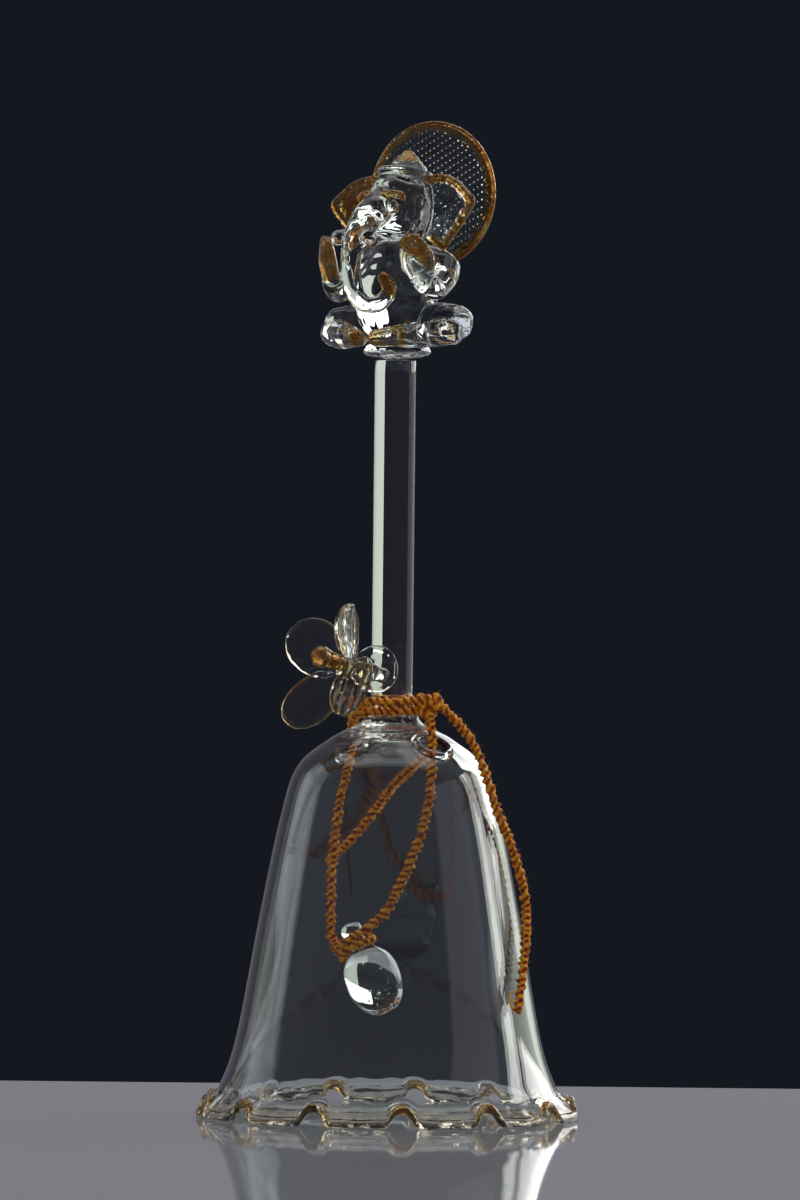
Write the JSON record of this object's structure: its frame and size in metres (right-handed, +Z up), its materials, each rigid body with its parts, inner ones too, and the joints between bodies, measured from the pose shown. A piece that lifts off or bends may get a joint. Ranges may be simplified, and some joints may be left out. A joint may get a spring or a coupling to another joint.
{
  "type": "glass hand bell",
  "caption": "Lampworked clear glass hand bell with a frilled lip, a rod handle topped by a seated elephant-headed figure, a glass flower and a drop clapper on a cord.",
  "frame": {"origin": "on the table, under the middle of the bell's mouth", "axes": "+Z up along the handle, -Y towards the viewer, +X to the viewer's right"},
  "size_m": [0.0658, 0.0658, 0.1703],
  "materials": {
    "clear_glass": "fire polished",
    "amber_glass": "fire polished",
    "cord_yarn": "twisted yarn"
  },
  "bodies": {
    "bell": {"bell_shell": "clear_glass", "neck_collar": "clear_glass", "handle_rod": "clear_glass", "figure_seat": "clear_glass", "figure_torso": "clear_glass", "figure_right_leg": "clear_glass", "figure_left_leg": "clear_glass", "figure_head": "clear_glass", "figure_trunk": "clear_glass", "figure_right_tusk": "clear_glass", "figure_right_eye": "clear_glass", "figure_right_arm": "clear_glass", "figure_left_tusk": "clear_glass", "figure_left_eye": "clear_glass", "figure_left_arm": "clear_glass", "crown_brim": "clear_glass", "halo_disc": "clear_glass", "halo_strut": "clear_glass", "flower_stem": "clear_glass", "flower_petal_left": "clear_glass", "flower_petal_top": "clear_glass", "flower_petal_right": "clear_glass", "flower_petal_front": "clear_glass", "flower_petal_low": "clear_glass", "figure_right_foot": "amber_glass", "figure_right_brow": "amber_glass", "figure_right_ear": "amber_glass", "figure_right_hand": "amber_glass", "figure_left_foot": "amber_glass", "figure_left_brow": "amber_glass", "figure_left_ear": "amber_glass", "figure_left_hand": "amber_glass", "crown_cone": "amber_glass", "halo_rim": "amber_glass", "flower_hub": "amber_glass", "flower_stamen": "amber_glass", "cord_neck_winding": "cord_yarn", "cord_neck_knot": "cord_yarn", "cord_tail": "cord_yarn", "cord_left_bridge": "cord_yarn", "cord_right_bridge": "cord_yarn", "cord_inner_end": "cord_yarn"},
    "clapper": {"clapper_drop": "clear_glass", "cord_drop_winding": "cord_yarn", "cord_left_strand": "cord_yarn", "cord_right_strand": "cord_yarn"}
  },
  "joints": [
    {"name": "clapper_swing", "type": "hinge", "parent": "bell", "child": "clapper", "pos_m": [0, 0, 0.063], "axis": [0.6088, -0.7934, 0], "range_deg": [-22, 23]}
  ]
}
